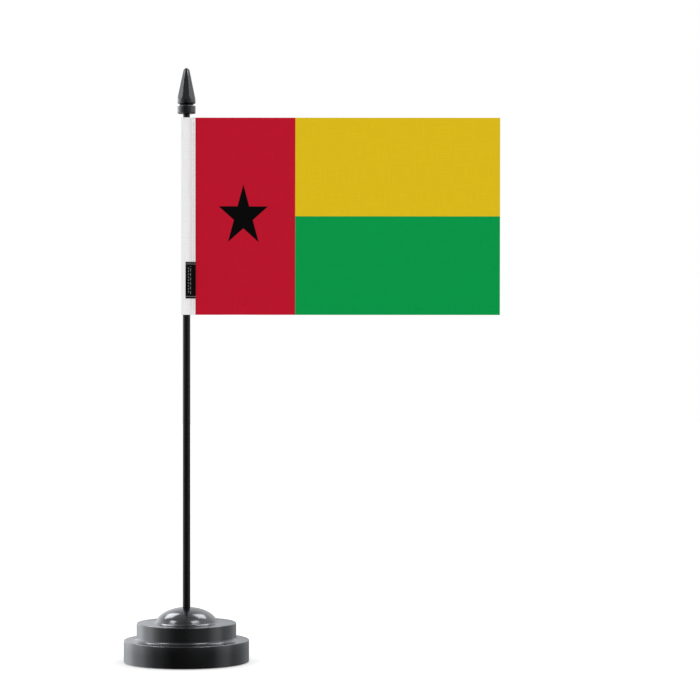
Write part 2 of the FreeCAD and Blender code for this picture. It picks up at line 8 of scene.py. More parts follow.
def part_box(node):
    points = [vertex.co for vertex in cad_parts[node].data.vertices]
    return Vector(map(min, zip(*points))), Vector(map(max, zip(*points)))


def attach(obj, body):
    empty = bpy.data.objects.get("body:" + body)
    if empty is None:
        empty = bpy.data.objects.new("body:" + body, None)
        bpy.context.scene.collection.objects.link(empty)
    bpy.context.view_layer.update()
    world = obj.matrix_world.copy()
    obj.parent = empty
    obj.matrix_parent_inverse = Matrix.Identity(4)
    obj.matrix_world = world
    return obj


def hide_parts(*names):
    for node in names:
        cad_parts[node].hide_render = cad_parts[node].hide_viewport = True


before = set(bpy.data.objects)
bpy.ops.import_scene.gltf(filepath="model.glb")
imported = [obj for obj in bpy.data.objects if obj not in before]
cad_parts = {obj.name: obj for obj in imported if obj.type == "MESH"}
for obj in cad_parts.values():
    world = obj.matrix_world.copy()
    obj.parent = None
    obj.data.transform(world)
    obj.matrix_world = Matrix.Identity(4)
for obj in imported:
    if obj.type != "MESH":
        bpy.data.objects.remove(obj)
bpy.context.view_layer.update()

MM = 0.001
scene = bpy.context.scene

# ----------------------------------------------------------------------------------------------
# Base moulding. The round two-tier foot with its dome is one injection moulding in gloss black
# plastic, about 1.8 mm thick, cored out from below. Its tool left small rounds on every outer
# edge and concave rounds where a tier or the dome rises from the face below.
# ----------------------------------------------------------------------------------------------
base_low, base_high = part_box("base_shell")
staff_low, staff_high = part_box("staff")
RIM_RADIUS = base_high.x
LOWER_TOP = 11.4 * MM
LEDGE = 6.55 * MM
UPPER_RADIUS = RIM_RADIUS - LEDGE
UPPER_TOP = 20.1 * MM
SHELL_WALL = 1.8 * MM
DOME_RADIUS = 15.8 * MM
DOME_RISE = 8.8 * MM
DOME_CENTRE = base_high.z - DOME_RISE
EDGE_ROUND = 0.5 * MM
FOOT_ROUND = 1.5 * MM
FOOT_STEPS = 8
DOME_STEPS = 30
HALVINGS = 40
STAFF_HOLE_RADIUS = staff_high.x + 0.15 * MM
BOSS_RADIUS = 5.25 * MM
BOSS_FOOT = 8 * MM
SOCKET_RADIUS = 3.25 * MM
SOCKET_TOP = 22 * MM
SAME_CORNER = 0.01 * MM
WELD = 0.002 * MM


def lathe(name, corners, steps, closed=False):
    """Draw a profile by extruding one point, round its corners, and spin it about the staff's axis.

    Each corner is (radius, height) or (radius, height, round, segments)."""
    bpy.ops.object.select_all(action="DESELECT")
    bpy.ops.mesh.primitive_plane_add(size=MM)
    piece = bpy.context.object
    piece.name = name
    bpy.ops.object.mode_set(mode="EDIT")
    bpy.ops.mesh.merge(type="CENTER")
    here = Vector((0, 0, 0))
    for index, corner in enumerate(corners):
        there = Vector((corner[0], 0, corner[1]))
        if index == 0:
            bpy.ops.transform.translate(value=there - here)
        else:
            bpy.ops.mesh.extrude_region_move(TRANSFORM_OT_translate={"value": there - here})
        here = there
    if closed:
        start = Vector((corners[0][0], 0, corners[0][1]))
        bpy.ops.mesh.extrude_region_move(TRANSFORM_OT_translate={"value": start - here})
        bpy.ops.mesh.select_all(action="SELECT")
        bpy.ops.mesh.remove_doubles(threshold=WELD)
    for corner in corners:
        if len(corner) == 4:
            spot = Vector((corner[0], 0, corner[1]))
            shape = bmesh.from_edit_mesh(piece.data)
            for point in shape.verts:
                point.select_set((point.co - spot).length < SAME_CORNER)
            shape.select_flush_mode()
            bmesh.update_edit_mesh(piece.data)
            bpy.ops.mesh.bevel(offset=corner[2], segments=corner[3], affect="VERTICES")
    bpy.ops.mesh.select_all(action="SELECT")
    bpy.ops.mesh.spin(steps=steps, angle=2 * math.pi, center=(0, 0, 0), axis=(0, 0, 1))
    bpy.ops.mesh.select_all(action="SELECT")
    bpy.ops.mesh.remove_doubles(threshold=WELD)
    bpy.ops.mesh.normals_make_consistent(inside=False)
    bpy.ops.object.mode_set(mode="OBJECT")
    return piece


def dome_point(angle, lift=0.0):
    """A point on the dome's ellipse, or a set distance outside it, as (radius, height)."""
    across = DOME_RADIUS * math.cos(angle)
    up = DOME_RISE * math.sin(angle)
    slope = Vector((across / DOME_RADIUS**2, up / DOME_RISE**2)).normalized()
    return Vector((across, DOME_CENTRE + up)) + slope * lift


def dome_profile():
    """The foot round of the dome, then its ellipse up to the hole for the staff."""
    low, high = 0.0, math.pi / 2
    for _ in range(HALVINGS):
        middle = (low + high) / 2
        if dome_point(middle, FOOT_ROUND).y < UPPER_TOP + FOOT_ROUND:
            low = middle
        else:
            high = middle
    centre = dome_point(low, FOOT_ROUND)
    touch = dome_point(low) - centre
    end = math.atan2(touch.y, touch.x)
    end = end + 2 * math.pi if end < 0 else end
    start = 1.5 * math.pi
    foot = []
    for step in range(FOOT_STEPS + 1):
        turn = start + (end - start) * step / FOOT_STEPS
        foot.append((centre.x + FOOT_ROUND * math.cos(turn),
                     centre.y + FOOT_ROUND * math.sin(turn)))
    last = math.acos(STAFF_HOLE_RADIUS / DOME_RADIUS)
    rise = [tuple(dome_point(low + (last - low) * step / DOME_STEPS))
            for step in range(1, DOME_STEPS + 1)]
    return foot + rise


def round_corner(radius, height, size, segments=5):
    return (radius, height, size, segments)


cavity_radius = RIM_RADIUS - SHELL_WALL
upper_cavity_radius = UPPER_RADIUS - SHELL_WALL
base = lathe("base_moulding", [
    (cavity_radius, base_low.z),
    round_corner(RIM_RADIUS, base_low.z, EDGE_ROUND / 2),
    round_corner(RIM_RADIUS, LOWER_TOP, EDGE_ROUND),
    round_corner(UPPER_RADIUS, LOWER_TOP, FOOT_ROUND),
    round_corner(UPPER_RADIUS, UPPER_TOP, EDGE_ROUND),
    *dome_profile(),
    (STAFF_HOLE_RADIUS, SOCKET_TOP),
    (SOCKET_RADIUS, SOCKET_TOP),
    (SOCKET_RADIUS, BOSS_FOOT),
    (BOSS_RADIUS, BOSS_FOOT),
    (BOSS_RADIUS, UPPER_TOP - SHELL_WALL),
    (upper_cavity_radius, UPPER_TOP - SHELL_WALL),
    (upper_cavity_radius, LOWER_TOP - SHELL_WALL),
    (cavity_radius, LOWER_TOP - SHELL_WALL),
], steps=192, closed=True)
bpy.ops.object.shade_smooth_by_angle(angle=math.radians(25))


# ----------------------------------------------------------------------------------------------
# Shader tools, and the skin of the black mouldings.
# ----------------------------------------------------------------------------------------------
def grey(level):
    return (level, level, level, 1)


def feed(tree, item, inputs):
    """Set or link a node's inputs by name or number."""
    for key, value in inputs.items():
        if isinstance(value, bpy.types.NodeSocket):
            tree.links.new(value, item.inputs[key])
        else:
            item.inputs[key].default_value = value


def add_node(tree, kind, inputs=None, **settings):
    """Add one shader node, set its options and feed its inputs."""
    item = tree.nodes.new(kind)
    for key, setting in settings.items():
        setattr(item, key, setting)
    feed(tree, item, inputs or {})
    return item


def use_group(tree, group, **inputs):
    """The outputs of a node group; an underscore in an input's name stands for a space."""
    named = {key.replace("_", " "): value for key, value in inputs.items()}
    return add_node(tree, "ShaderNodeGroup", named, node_tree=group).outputs


def mottle(tree, place, scale, detail=2.0, roughness=0.5):
    """The value of one Noise Texture node."""
    inputs = {"Vector": place, "Scale": scale, "Detail": detail, "Roughness": roughness}
    return add_node(tree, "ShaderNodeTexNoise", inputs).outputs[0]


def stretched(tree, place, scale, **more):
    """The place that one Mapping node gives."""
    inputs = {"Vector": place, "Scale": scale, **more}
    return add_node(tree, "ShaderNodeMapping", inputs).outputs[0]


def relief(tree, height, strength, distance):
    """The normal that one Bump node gives."""
    inputs = {"Height": height, "Strength": strength, "Distance": distance}
    return add_node(tree, "ShaderNodeBump", inputs).outputs[0]


def maths(tree, operation, first, second=0.0, third=0.0, clamp=False):
    """The result of one Math node."""
    inputs = {0: first, 1: second, 2: third}
    return add_node(tree, "ShaderNodeMath", inputs, operation=operation, use_clamp=clamp).outputs[0]


def blend_colours(tree, share, first, second, **settings):
    """The colour that one Mix node gives."""
    inputs = {0: share, 6: first, 7: second}
    return add_node(tree, "ShaderNodeMix", inputs, data_type="RGBA", **settings).outputs[2]


def blend_values(tree, share, first, second):
    """The number that one Mix node gives."""
    return add_node(tree, "ShaderNodeMix", {0: share, 2: first, 3: second}).outputs[0]


def new_group(name, sockets_in, sockets_out):
    """Start a node group; returns the tree, its inputs by name, and its output node."""
    tree = bpy.data.node_groups.new(name, "ShaderNodeTree")
    for label, kind in sockets_in:
        tree.interface.new_socket(label, in_out="INPUT", socket_type=kind)
    for label, kind in sockets_out:
        tree.interface.new_socket(label, in_out="OUTPUT", socket_type=kind)
    entry = tree.nodes.new("NodeGroupInput")
    leave = tree.nodes.new("NodeGroupOutput")
    return tree, entry.outputs, leave


def object_place(tree):
    return add_node(tree, "ShaderNodeTexCoord").outputs["Object"]


def new_material(name):
    """A material with only a Principled BSDF and its output."""
    material = bpy.data.materials.new(name)
    material.use_nodes = True
    material.node_tree.nodes.clear()
    tree = material.node_tree
    surface = add_node(tree, "ShaderNodeBsdfPrincipled")
    add_node(tree, "ShaderNodeOutputMaterial", {"Surface": surface.outputs[0]})
    return material, tree, surface


def dress(piece, material):
    piece.data.materials.clear()
    piece.data.materials.append(material)


RUB_LEVEL = 0.62
SPECK_REACH = 0.045
SPECK_RARITY = 0.82


def make_moulded_skin():
    """The skin of a polished moulding: a faint flow pattern, hairline rubs and specks of dust."""
    tree, given, leave = new_group(
        "moulded_skin",
        [("Vector", "NodeSocketVector"), ("Rub", "NodeSocketFloat"), ("Dust", "NodeSocketFloat"),
         ("Gloss Roughness", "NodeSocketFloat")],
        [("Tone", "NodeSocketFloat"), ("Roughness", "NodeSocketFloat"),
         ("Height", "NodeSocketFloat")],
    )
    place = given["Vector"]
    flow = mottle(tree, place, 110.0, detail=3.0)
    ripple = mottle(tree, place, 1500.0)
    drawn = stretched(tree, place, (900.0, 40.0, 900.0), Rotation=(0.3, 0.5, 0.7))
    hair = mottle(tree, drawn, 1.0, detail=4.0, roughness=0.7)
    rub = maths(tree, "SUBTRACT", hair, RUB_LEVEL, clamp=True)
    rub = maths(tree, "MULTIPLY", rub, 8.0, clamp=True)
    rub = maths(tree, "MULTIPLY", rub, given["Rub"])
    speck = add_node(tree, "ShaderNodeTexVoronoi", {"Vector": place, "Scale": 420.0})
    small = maths(tree, "LESS_THAN", speck.outputs["Distance"], SPECK_REACH)
    rare = add_node(tree, "ShaderNodeSeparateColor", {0: speck.outputs["Color"]})
    chosen = maths(tree, "GREATER_THAN", rare.outputs[0], SPECK_RARITY)
    dust = maths(tree, "MULTIPLY", maths(tree, "MULTIPLY", small, chosen), given["Dust"])
    uneven = maths(tree, "MULTIPLY", maths(tree, "SUBTRACT", flow, 0.5), 0.12)
    rough = maths(tree, "ADD", given["Gloss Roughness"], uneven)
    rough = maths(tree, "ADD", rough, maths(tree, "MULTIPLY", rub, 0.25))
    rough = maths(tree, "ADD", rough, maths(tree, "MULTIPLY", dust, 0.4), clamp=True)
    tone = maths(tree, "MULTIPLY_ADD", flow, 0.3, maths(tree, "MULTIPLY", rub, 0.25))
    tone = maths(tree, "ADD", tone, dust, clamp=True)
    height = maths(tree, "SUBTRACT", ripple, maths(tree, "MULTIPLY", rub, 0.5))
    feed(tree, leave, {"Tone": tone, "Roughness": rough, "Height": height})
    return tree


moulded_skin = make_moulded_skin()
CLEAN_BLACK = (0.0008, 0.0009, 0.001, 1)
RUBBED_BLACK = (0.012, 0.012, 0.0125, 1)
RIPPLE_DEPTH = 0.02 * MM


def black_moulding(name, rub, dust, roughness, ripple, ior=1.5):
    """Polished black plastic with its own amount of rubs and dust."""
    material, tree, surface = new_material(name)
    skin = use_group(tree, moulded_skin, Vector=object_place(tree), Rub=rub, Dust=dust,
                     Gloss_Roughness=roughness)
    feed(tree, surface, {
        "Base Color": blend_colours(tree, skin["Tone"], CLEAN_BLACK, RUBBED_BLACK),
        "Roughness": skin["Roughness"],
        "Normal": relief(tree, skin["Height"], ripple, RIPPLE_DEPTH),
        "IOR": ior,
    })
    return material


dress(base, black_moulding("gloss_black_base", rub=0.5, dust=0.35, roughness=0.16, ripple=0.15))
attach(base, "base")
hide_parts("base_shell")

# ----------------------------------------------------------------------------------------------
# Under the base. A die-cut rubber disc is glued over the bottom plate, which three countersunk
# screws hold on from below. A punched steel ring inside gives the base its weight.
# ----------------------------------------------------------------------------------------------
pad_low, pad_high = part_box("foot_pad")
PAD_EDGE_ROUND = 0.2 * MM
pad = lathe("rubber_foot_pad", [
    (0, pad_low.z),
    (pad_high.x, pad_low.z, PAD_EDGE_ROUND, 4),
    (pad_high.x, pad_high.z, PAD_EDGE_ROUND / 2, 2),
    (0, pad_high.z),
], steps=128)
bpy.ops.object.shade_smooth_by_angle(angle=math.radians(25))


def make_fine_grain():
    """Fine even grain for rubber, textured plastic and worked metal."""
    tree, given, leave = new_group(
        "fine_grain",
        [("Vector", "NodeSocketVector"), ("Scale", "NodeSocketFloat"),
         ("Base Roughness", "NodeSocketFloat")],
        [("Tone", "NodeSocketFloat"), ("Roughness", "NodeSocketFloat"),
         ("Height", "NodeSocketFloat")],
    )
    grain = mottle(tree, given["Vector"], given["Scale"], detail=4.0, roughness=0.6)
    cloud = mottle(tree, given["Vector"], 90.0)
    tone = maths(tree, "ADD", maths(tree, "MULTIPLY", grain, 0.5),
                 maths(tree, "MULTIPLY", cloud, 0.5), clamp=True)
    spread = maths(tree, "MULTIPLY", maths(tree, "SUBTRACT", cloud, 0.5), 0.2)
    rough = maths(tree, "ADD", given["Base Roughness"], spread, clamp=True)
    feed(tree, leave, {"Tone": tone, "Roughness": rough, "Height": grain})
    return tree


fine_grain = make_fine_grain()
GRAIN_DEPTH = 0.05 * MM


def grained(name, dark, light, scale, roughness, bumps, metallic=0.0, stretch=(1, 1, 1)):
    """A plain workshop material: two close tones, fine grain and uneven roughness."""
    material, tree, surface = new_material(name)
    drawn = stretched(tree, object_place(tree), stretch)
    grain = use_group(tree, fine_grain, Vector=drawn, Scale=scale, Base_Roughness=roughness)
    feed(tree, surface, {
        "Base Color": blend_colours(tree, grain["Tone"], dark, light),
        "Roughness": grain["Roughness"],
        "Normal": relief(tree, grain["Height"], bumps, GRAIN_DEPTH),
        "Metallic": metallic,
    })
    return material


dress(pad, grained("matt_black_rubber", grey(0.012), (0.035, 0.034, 0.033, 1),
                   scale=3500.0, roughness=0.8, bumps=0.5))
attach(pad, "base")
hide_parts("foot_pad")
dress(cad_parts["bottom_plate"],
      grained("textured_black_plastic", (0.015, 0.015, 0.016, 1), (0.04, 0.04, 0.042, 1),
              scale=2500.0, roughness=0.6, bumps=0.4))
dress(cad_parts["bottom_screws"],
      grained("zinc_plated_steel", (0.42, 0.43, 0.45, 1), (0.62, 0.62, 0.6, 1),
              scale=1800.0, roughness=0.32, bumps=0.15, metallic=1.0))
dress(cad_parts["ballast_disc"],
      grained("oiled_punched_steel", (0.2, 0.19, 0.18, 1), (0.42, 0.41, 0.4, 1),
              scale=700.0, roughness=0.38, bumps=0.3, metallic=1.0, stretch=(1, 8, 1)))

# ----------------------------------------------------------------------------------------------
# Hidden wearing parts. The nylon bush is the cup in the base that the staff stands and turns in;
# the rubber ring grips the staff under the top hem, and holds the flag at its height.
# ----------------------------------------------------------------------------------------------
dress(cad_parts["socket_bush"],
      grained("natural_nylon", (0.62, 0.6, 0.54, 1), (0.72, 0.7, 0.64, 1),
              scale=1200.0, roughness=0.45, bumps=0.15))
dress(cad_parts["grip_ring"],
      grained("soft_black_rubber", grey(0.015), grey(0.03),
              scale=4000.0, roughness=0.7, bumps=0.3))

# ----------------------------------------------------------------------------------------------
# Staff. A solid moulded rod in the same gloss black plastic, a little thinner towards the top,
# where it steps down to a spigot for the finial. It is pushed into the base and lifts out.
# ----------------------------------------------------------------------------------------------
finial_low, finial_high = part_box("finial")
ring_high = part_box("grip_ring")[1]
STAFF_TOP_RADIUS = 1.9 * MM
SPIGOT_RADIUS = 1.775 * MM
SHOULDER = staff_high.z - 11.2 * MM
STAFF_BEVEL = 0.4 * MM
staff_corners = [
    (0, staff_low.z),
    (staff_high.x, staff_low.z, STAFF_BEVEL, 3),
]
for share in (0.2, 0.4, 0.6, 0.8):
    staff_corners.append((staff_high.x + (STAFF_TOP_RADIUS - staff_high.x) * share,
                          staff_low.z + (SHOULDER - staff_low.z) * share))
staff_corners += [
    (STAFF_TOP_RADIUS, SHOULDER),
    (SPIGOT_RADIUS, SHOULDER),
    (SPIGOT_RADIUS, staff_high.z, STAFF_BEVEL, 3),
    (0, staff_high.z),
]
staff = lathe("staff_rod", staff_corners, steps=64)
bpy.ops.object.shade_smooth_by_angle(angle=math.radians(30))
dress(staff, black_moulding("satin_black_staff", rub=0.35, dust=0.15, roughness=0.3, ripple=0.12,
                            ior=1.3))
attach(staff, "staff")
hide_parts("staff")

# ----------------------------------------------------------------------------------------------
# Finial. A moulded spear: a round collar, a V groove, and a spike whose turned foot runs out in
# small arches into eight flat facets under a round nose. It is a push fit on the staff's spigot.
# ----------------------------------------------------------------------------------------------
COLLAR_HEIGHT = 4.0 * MM
COLLAR_ROUND = 0.45 * MM
GROOVE_RADIUS = 3.25 * MM
GROOVE_RISE = 0.7 * MM
GROOVE_HEIGHT = 1.2 * MM
SPEAR_RADIUS = 4.65 * MM
TURNED_HEIGHT = 4 * MM
BORE_DEPTH = 6.5 * MM
BORE_CLEARANCE = 0.03 * MM
FACET_LIFT = 1.6 * MM
FACET_COUNT = 8
FACET_BEVEL = 0.14 * MM
CUT_TOLERANCE = 0.0002 * MM
TIP_RADIUS = 1.5 * MM
TIP_HEIGHT = 1.0 * MM
NOSE_RADIUS = 1.65 * MM
NOSE_HEIGHT = 1.4 * MM
NOSE_STEPS = 16
collar_top = finial_low.z + COLLAR_HEIGHT
spear_foot = collar_top + GROOVE_HEIGHT
bore_radius = SPIGOT_RADIUS + BORE_CLEARANCE
bore_end = finial_low.z + BORE_DEPTH
nose_foot = finial_high.z - NOSE_HEIGHT
nose = []
for step in range(NOSE_STEPS + 1):
    lean = math.pi / 2 * step / NOSE_STEPS
    nose.append((NOSE_RADIUS * math.cos(lean), nose_foot + NOSE_HEIGHT * math.sin(lean)))
finial = lathe("spear_finial", [
    (0, bore_end),
    (bore_radius, bore_end),
    (bore_radius, finial_low.z),
    (finial_high.x, finial_low.z, COLLAR_ROUND, 4),
    (finial_high.x, collar_top, COLLAR_ROUND, 4),
    (GROOVE_RADIUS, collar_top + GROOVE_RISE, COLLAR_ROUND / 2, 3),
    (SPEAR_RADIUS, spear_foot, COLLAR_ROUND, 4),
    (SPEAR_RADIUS, spear_foot + TURNED_HEIGHT),
    *nose,
], steps=96)


def pare(piece, count, radius, height, far_radius, far_height):
    """Slice flat facets off a turned piece, all leaning from one (radius, height) to another."""
    lean = Vector((far_height - height, 0, radius - far_radius)).normalized()
    bpy.ops.object.mode_set(mode="EDIT")
    for index in range(count):
        turn = 2 * math.pi * index / count
        out = Vector((lean.x * math.cos(turn), lean.x * math.sin(turn), lean.z))
        spot = Vector((radius * math.cos(turn), radius * math.sin(turn), height))
        bpy.ops.mesh.select_all(action="SELECT")
        bpy.ops.mesh.bisect(plane_co=spot, plane_no=out, use_fill=True, clear_outer=True,
                            threshold=CUT_TOLERANCE)
    bpy.ops.object.mode_set(mode="OBJECT")


tip_level = finial_high.z - TIP_HEIGHT
pare(finial, FACET_COUNT, SPEAR_RADIUS, spear_foot + FACET_LIFT, TIP_RADIUS, tip_level)


def finish_modifier(piece, kind, **settings):
    """Add one modifier with the given settings and apply it."""
    bpy.ops.object.select_all(action="DESELECT")
    piece.select_set(True)
    bpy.context.view_layer.objects.active = piece
    modifier = piece.modifiers.new(kind.title(), kind)
    for key, setting in settings.items():
        setattr(modifier, key, setting)
    bpy.ops.object.modifier_apply(modifier=modifier.name)


finish_modifier(finial, "BEVEL", width=FACET_BEVEL, segments=6, limit_method="ANGLE",
                angle_limit=math.radians(30))
bpy.ops.object.shade_smooth_by_angle(angle=math.radians(8))
dress(finial, black_moulding("gloss_black_finial", rub=0.5, dust=0.2, roughness=0.18, ripple=0.15))
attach(finial, "finial")
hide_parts("finial")

# ----------------------------------------------------------------------------------------------
# Flag. One panel of plain-weave polyester, dyed right through in three fields with a star, cut
# hot so that its edges are fused. It is sewn to the sleeve and stands out stiffly from it.
# ----------------------------------------------------------------------------------------------
flag_low, flag_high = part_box("flag_panel")
sleeve_low, sleeve_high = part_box("flag_sleeve")
SEAM_EDGE = sleeve_high.x
HOIST = flag_high.z - flag_low.z
CLOTH = 0.18 * MM
FUSED_EDGE = 0.3 * MM
WAVE = 1.6 * MM
SIM_SCALE = 10.0
SIM_FRAMES = 40
SIM_SHIFT_X = 0.3
SIM_SHIFT_Z = 0.1
CELL = 2.0 * MM


def make_flag_grid():
    """A flat grid the size of the cut panel, standing in the plane of the staff."""
    width = flag_high.x - flag_low.x
    bpy.ops.object.select_all(action="DESELECT")
    bpy.ops.mesh.primitive_grid_add(x_subdivisions=round(width / CELL),
                                    y_subdivisions=round(HOIST / CELL), size=1, calc_uvs=True)
    piece = bpy.context.object
    piece.name = "flag_cloth"
    bpy.ops.object.mode_set(mode="EDIT")
    bpy.ops.mesh.select_all(action="SELECT")
    bpy.ops.transform.resize(value=(width, HOIST, 1))
    bpy.ops.transform.rotate(value=-math.pi / 2, orient_axis="X", center_override=(0, 0, 0))
    bpy.ops.transform.translate(value=(flag_low + flag_high) / 2)
    bpy.ops.object.mode_set(mode="OBJECT")
    return piece


flag = make_flag_grid()


def flutter(piece):
    """Settle the flag as stiff cloth held at its hoist in a light draught, ten times real size."""
    held = piece.vertex_groups.new(name="hoist")
    seam_points = [point.index for point in piece.data.vertices if point.co.x < SEAM_EDGE + MM]
    held.add(seam_points, 1.0, "REPLACE")
    flat = [point.co.copy() for point in piece.data.vertices]
    for point in piece.data.vertices:
        point.co *= SIM_SCALE
    draught = []
    for kind, strength, turn in (("WIND", 6.0, math.pi / 2), ("TURBULENCE", 5.0, 0.0)):
        bpy.ops.object.effector_add(type=kind, location=(-0.5, 0.2, 2.0), rotation=(0, turn, 0))
        source = bpy.context.object
        source.field.strength = strength
        source.field.seed = 7
        source.field.size = 0.9
        draught.append(source)
    cloth = piece.modifiers.new("Cloth", "CLOTH")
    settings = cloth.settings
    settings.quality = 6
    settings.mass = 0.2
    settings.tension_stiffness = 40
    settings.compression_stiffness = 40
    settings.shear_stiffness = 20
    settings.bending_stiffness = 6
    settings.air_damping = 2
    settings.vertex_group_mass = "hoist"
    settings.effector_weights.gravity = 0.02
    cloth.point_cache.frame_start = 1
    cloth.point_cache.frame_end = SIM_FRAMES
    for number in range(1, SIM_FRAMES + 1):
        scene.frame_set(number)
    bpy.ops.object.select_all(action="DESELECT")
    piece.select_set(True)
    bpy.context.view_layer.objects.active = piece
    bpy.ops.object.modifier_apply(modifier=cloth.name)
    scene.frame_set(1)
    for source in draught:
        bpy.data.objects.remove(source)
    swing = max(abs(point.co.y) for point in piece.data.vertices)
    for point, start in zip(piece.data.vertices, flat):
        moved = point.co / SIM_SCALE
        point.co = Vector((start.x + SIM_SHIFT_X * (moved.x - start.x),
                           point.co.y / swing * WAVE,
                           start.z + SIM_SHIFT_Z * (moved.z - start.z)))


flutter(flag)
finish_modifier(flag, "SUBSURF", levels=1, render_levels=1, boundary_smooth="PRESERVE_CORNERS")
edge = flag.vertex_groups.new(name="fused_edge")
hot_cut = [point.index for point in flag.data.vertices
           if point.co.x > SEAM_EDGE + MM
           and (point.co.x > flag_high.x - 0.4 * CELL or point.co.z > flag_high.z - 0.2 * CELL
                or point.co.z < flag_low.z + 0.2 * CELL)]
edge.add(hot_cut, 1.0, "REPLACE")
finish_modifier(flag, "SOLIDIFY", thickness=FUSED_EDGE, offset=0.0, vertex_group="fused_edge",
                thickness_vertex_group=CLOTH / FUSED_EDGE, use_even_offset=True)
bpy.ops.object.shade_smooth_by_angle(angle=math.radians(40))


def make_plain_weave():
    """Plain weave in millimetres: yarns pass over and under one another in a checker. Its Tone is
    the yarns' random slubs plus painted shade in the hollows between yarns and a painted highlight
    on their crowns.
    """
    tree, given, leave = new_group(
        "plain_weave",
        [("Vector", "NodeSocketVector"), ("Pitch", "NodeSocketFloat")],
        [("Height", "NodeSocketFloat"), ("Tone", "NodeSocketFloat")],
    )
    yarns = add_node(tree, "ShaderNodeVectorMath", {0: given["Vector"]}, operation="SCALE")
    tree.links.new(maths(tree, "DIVIDE", 1.0, given["Pitch"]), yarns.inputs["Scale"])
    parts = add_node(tree, "ShaderNodeSeparateXYZ", {0: yarns.outputs[0]})
    across, along = parts.outputs[0], parts.outputs[1]
    warp = maths(tree, "ABSOLUTE", maths(tree, "SINE", maths(tree, "MULTIPLY", across, math.pi)))
    weft = maths(tree, "ABSOLUTE", maths(tree, "SINE", maths(tree, "MULTIPLY", along, math.pi)))
    squares = maths(tree, "ADD", maths(tree, "FLOOR", across), maths(tree, "FLOOR", along))
    over = maths(tree, "GREATER_THAN", maths(tree, "PINGPONG", squares, 1.0), 0.5)
    warp_up = maths(tree, "MULTIPLY", warp, maths(tree, "MULTIPLY_ADD", weft, 0.5, 0.5))
    weft_up = maths(tree, "MULTIPLY", weft, maths(tree, "MULTIPLY_ADD", warp, 0.5, 0.5))
    height = blend_values(tree, over, weft_up, warp_up)
    slubs = []
    for stretch in ((0.02, 1.0, 1.0), (1.0, 0.02, 1.0)):
        slubs.append(mottle(tree, stretched(tree, yarns.outputs[0], stretch), 1.0))
    slub = blend_values(tree, over, *slubs)
    # Painted shade and highlight: this darkens the colour where the yarns lie low and lightens it
    # on their crowns, as light falls on the weave's relief.
    shade = maths(tree, "MULTIPLY", maths(tree, "SUBTRACT", height, 0.45), 0.35)
    tone = maths(tree, "ADD", slub, shade, clamp=True)
    feed(tree, leave, {"Height": height, "Tone": tone})
    return tree


plain_weave = make_plain_weave()
RED = (0.485, 0.006, 0.023, 1)
YELLOW = (0.7, 0.49, 0.009, 1)
GREEN = (0.001, 0.3, 0.062, 1)
INK_BLACK = grey(0.001)
RED_BAND = 51.0
STAR_FROM_SEAM = 24.5
STAR_HALF_WIDTH = 13.25
STAR_HALF_HEIGHT = 16.3
INK_BLEED = 0.15


def soft_step(tree, value, level, width):
    """0 below the level and 1 above it, with a short ramp between."""
    above = maths(tree, "SUBTRACT", value, level)
    return maths(tree, "ADD", maths(tree, "DIVIDE", above, width), 0.5, clamp=True)


def make_flag_print():
    """Three dyed fields and a five-pointed star, in millimetres from the foot of the seam."""
    tree, given, leave = new_group("flag_print", [("Vector", "NodeSocketVector")],
                                   [("Color", "NodeSocketColor")])
    bleed = mottle(tree, given["Vector"], 1.7)
    creep = maths(tree, "MULTIPLY", maths(tree, "SUBTRACT", bleed, 0.5), INK_BLEED)
    parts = add_node(tree, "ShaderNodeSeparateXYZ", {0: given["Vector"]})
    across = maths(tree, "ADD", parts.outputs[0], creep)
    up = maths(tree, "ADD", parts.outputs[1], creep)
    middle = HOIST / MM / 2
    fields = blend_colours(tree, soft_step(tree, up, middle, INK_BLEED), GREEN, YELLOW)
    bands = blend_colours(tree, soft_step(tree, across, RED_BAND, INK_BLEED), RED, fields)
    east = maths(tree, "DIVIDE", maths(tree, "SUBTRACT", across, STAR_FROM_SEAM), STAR_HALF_WIDTH)
    north = maths(tree, "DIVIDE", maths(tree, "SUBTRACT", up, middle), STAR_HALF_HEIGHT)
    reach = maths(tree, "SQRT", maths(tree, "ADD", maths(tree, "MULTIPLY", east, east),
                                      maths(tree, "MULTIPLY", north, north)))
    point_angle = 2 * math.pi / 5
    turns = maths(tree, "DIVIDE", maths(tree, "ARCTAN2", east, north), point_angle)
    folded = maths(tree, "ABSOLUTE", maths(tree, "SUBTRACT", turns, maths(tree, "ROUND", turns)))
    folded = maths(tree, "MULTIPLY", folded, point_angle)
    outward = maths(tree, "MULTIPLY", reach, maths(tree, "COSINE", folded))
    outward = maths(tree, "SUBTRACT", outward, 1.0)
    sideways = maths(tree, "MULTIPLY", reach, maths(tree, "SINE", folded))
    beyond = maths(tree, "ADD", maths(tree, "MULTIPLY", outward, math.cos(point_angle)),
                   maths(tree, "MULTIPLY", sideways, math.sin(point_angle)))
    ground = soft_step(tree, beyond, 0.0, INK_BLEED / STAR_HALF_WIDTH)
    feed(tree, leave, {"Color": blend_colours(tree, ground, INK_BLACK, bands)})
    return tree


